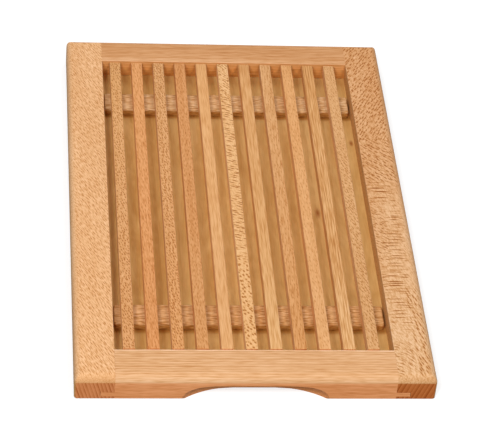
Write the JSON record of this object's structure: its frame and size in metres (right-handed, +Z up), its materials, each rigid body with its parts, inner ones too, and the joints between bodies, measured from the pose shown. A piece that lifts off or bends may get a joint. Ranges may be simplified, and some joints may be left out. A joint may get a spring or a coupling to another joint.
{
  "type": "bread board with crumb catcher",
  "caption": "Rectangular wooden bread board: a grooved frame with a thin floor, finger hollows under both ends, and a slatted grid that lifts out so the crumbs below can be tipped away.",
  "frame": {"origin": "middle of the underside, on the plane the board stands on", "axes": "+X across the board to the right, +Y along the board away from the user, +Z up out of the cutting surface"},
  "size_m": [0.275, 0.42, 0.023],
  "materials": {
    "stile_beech": "oiled, sanded smooth, flecked quarter-sawn face",
    "rail_beech": "oiled, sanded smooth, straight grain",
    "slat_beech": "oiled, planed, tone varies from slat to slat",
    "batten_beech": "oiled, planed",
    "floor_plywood": "oiled plywood, soft figure",
    "brad_steel": "bright wire"
  },
  "bodies": {
    "tray": {"left_stile": "stile_beech", "right_stile": "stile_beech", "front_rail": "rail_beech", "back_rail": "rail_beech", "floor_panel": "floor_plywood"},
    "grid": {"front_batten": "batten_beech", "back_batten": "batten_beech", "slat_01": "slat_beech", "slat_02": "slat_beech", "slat_03": "slat_beech", "slat_04": "slat_beech", "slat_05": "slat_beech", "slat_06": "slat_beech", "slat_07": "slat_beech", "slat_08": "slat_beech", "slat_09": "slat_beech", "slat_10": "slat_beech", "slat_11": "slat_beech", "front_brad_01": "brad_steel", "front_brad_02": "brad_steel", "front_brad_03": "brad_steel", "front_brad_04": "brad_steel", "front_brad_05": "brad_steel", "front_brad_06": "brad_steel", "front_brad_07": "brad_steel", "front_brad_08": "brad_steel", "front_brad_09": "brad_steel", "front_brad_10": "brad_steel", "front_brad_11": "brad_steel", "back_brad_01": "brad_steel", "back_brad_02": "brad_steel", "back_brad_03": "brad_steel", "back_brad_04": "brad_steel", "back_brad_05": "brad_steel", "back_brad_06": "brad_steel", "back_brad_07": "brad_steel", "back_brad_08": "brad_steel", "back_brad_09": "brad_steel", "back_brad_10": "brad_steel", "back_brad_11": "brad_steel"}
  },
  "joints": [
    {"name": "grid_lift", "type": "slide", "parent": "tray", "child": "grid", "axis": [0, 0, 1], "range_m": [0, 0.05]}
  ]
}
